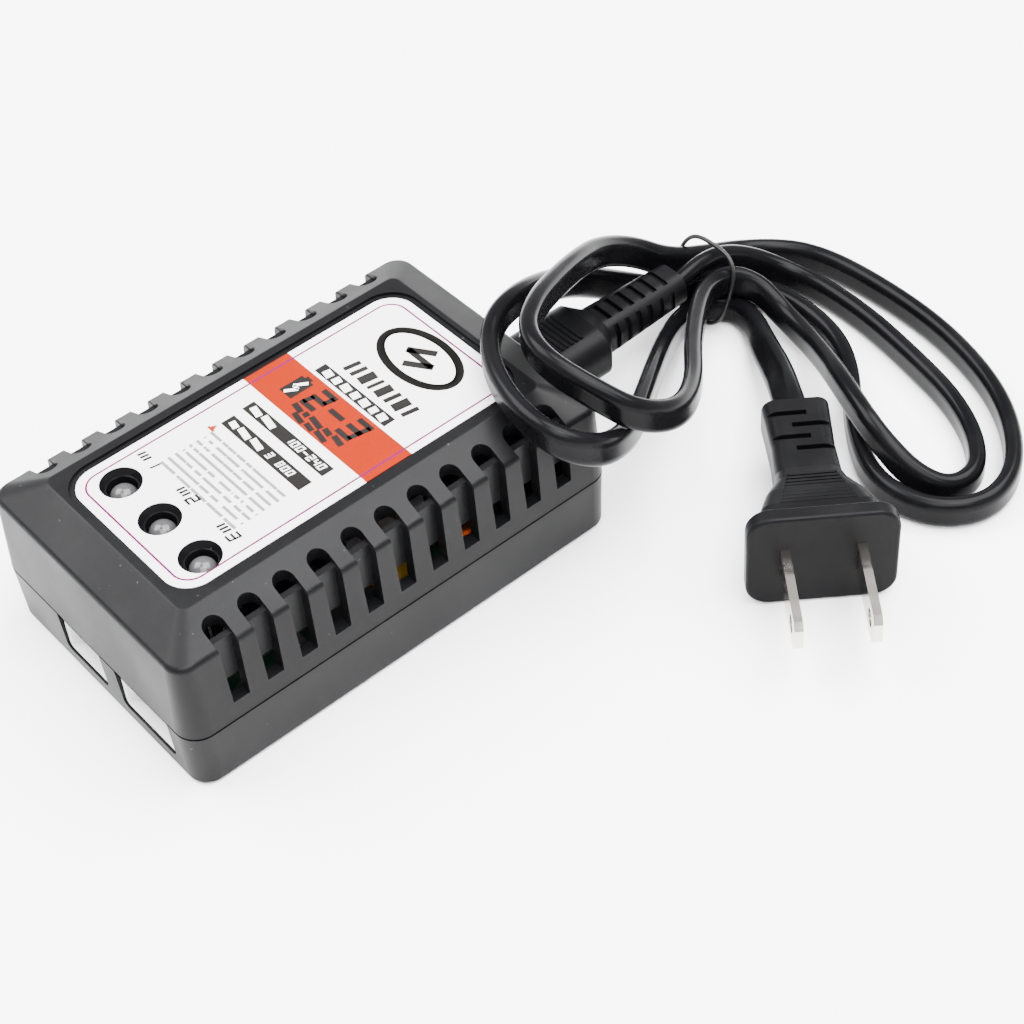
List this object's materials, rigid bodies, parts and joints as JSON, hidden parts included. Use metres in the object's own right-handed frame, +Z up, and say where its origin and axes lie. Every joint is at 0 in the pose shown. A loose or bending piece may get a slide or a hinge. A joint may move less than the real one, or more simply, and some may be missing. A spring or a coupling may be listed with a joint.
{
  "type": "balance battery charger",
  "caption": "Flat black mains-powered balance charger with slotted sides, status lamps, two white balance sockets and a tied two-core mains lead.",
  "frame": {"origin": "bottom centre of the charger's case, on the surface it stands on", "axes": "+Z up, +Y towards the mains inlet, -Y the face with the two balance sockets, +X towards the side the mains lead is laid on"},
  "size_m": [0.1118, 0.1644, 0.0402],
  "materials": {
    "case_black": "fine-textured black ABS",
    "nylon_white": "natural white nylon",
    "label_print": "printed satin label film",
    "lamp_clear": "smoky clear epoxy",
    "tinned_metal": "tinned wire and pins",
    "screw_steel": "dark zinc-plated steel",
    "board_green": "solder-masked glass-epoxy board",
    "component_black": "moulded epoxy package",
    "fuse_glass": "glass tube with metal caps",
    "film_red": "dipped film capacitor",
    "choke_copper": "enamelled winding on a drum core",
    "can_sleeve": "shrunk sleeve on an aluminium can",
    "ferrite": "ground ferrite",
    "tape_yellow": "polyester winding tape",
    "inlet_black": "moulded thermoplastic",
    "lead_black": "satin black PVC moulding",
    "contact_brass": "sprung brass",
    "cord_black": "satin black PVC sheath",
    "tie_black": "thin plastic-covered wire",
    "blade_nickel": "nickel-plated brass strip"
  },
  "bodies": {
    "charger": {"upper_shell": "case_black", "lower_shell": "case_black", "case_screws": "screw_steel", "label": "label_print", "led_1": "lamp_clear", "led_2": "lamp_clear", "led_3": "lamp_clear", "led_legs": "tinned_metal", "socket_2s": "nylon_white", "socket_3s": "nylon_white", "contacts_2s": "tinned_metal", "contacts_3s": "tinned_metal", "mains_inlet": "inlet_black", "inlet_pins": "tinned_metal", "circuit_board": "board_green", "fuse": "fuse_glass", "bridge_rectifier": "component_black", "film_capacitor": "film_red", "line_choke": "choke_copper", "bulk_capacitor": "can_sleeve", "transformer_core": "ferrite", "transformer_winding": "tape_yellow", "switching_chip": "component_black", "optocoupler": "component_black", "output_rectifier": "component_black", "output_capacitors": "can_sleeve", "charge_controllers": "component_black", "balance_resistors": "component_black", "charge_transistors": "component_black"},
    "mains_lead": {"lead_connector": "lead_black", "connector_contacts": "contact_brass", "mains_cord": "cord_black", "cord_tie": "tie_black", "plug_body": "lead_black", "plug_blades": "blade_nickel"}
  },
  "joints": [
    {"name": "lead_unplug", "type": "slide", "parent": "charger", "child": "mains_lead", "axis": [0, 1, 0], "range_m": [0, 0.02]}
  ]
}
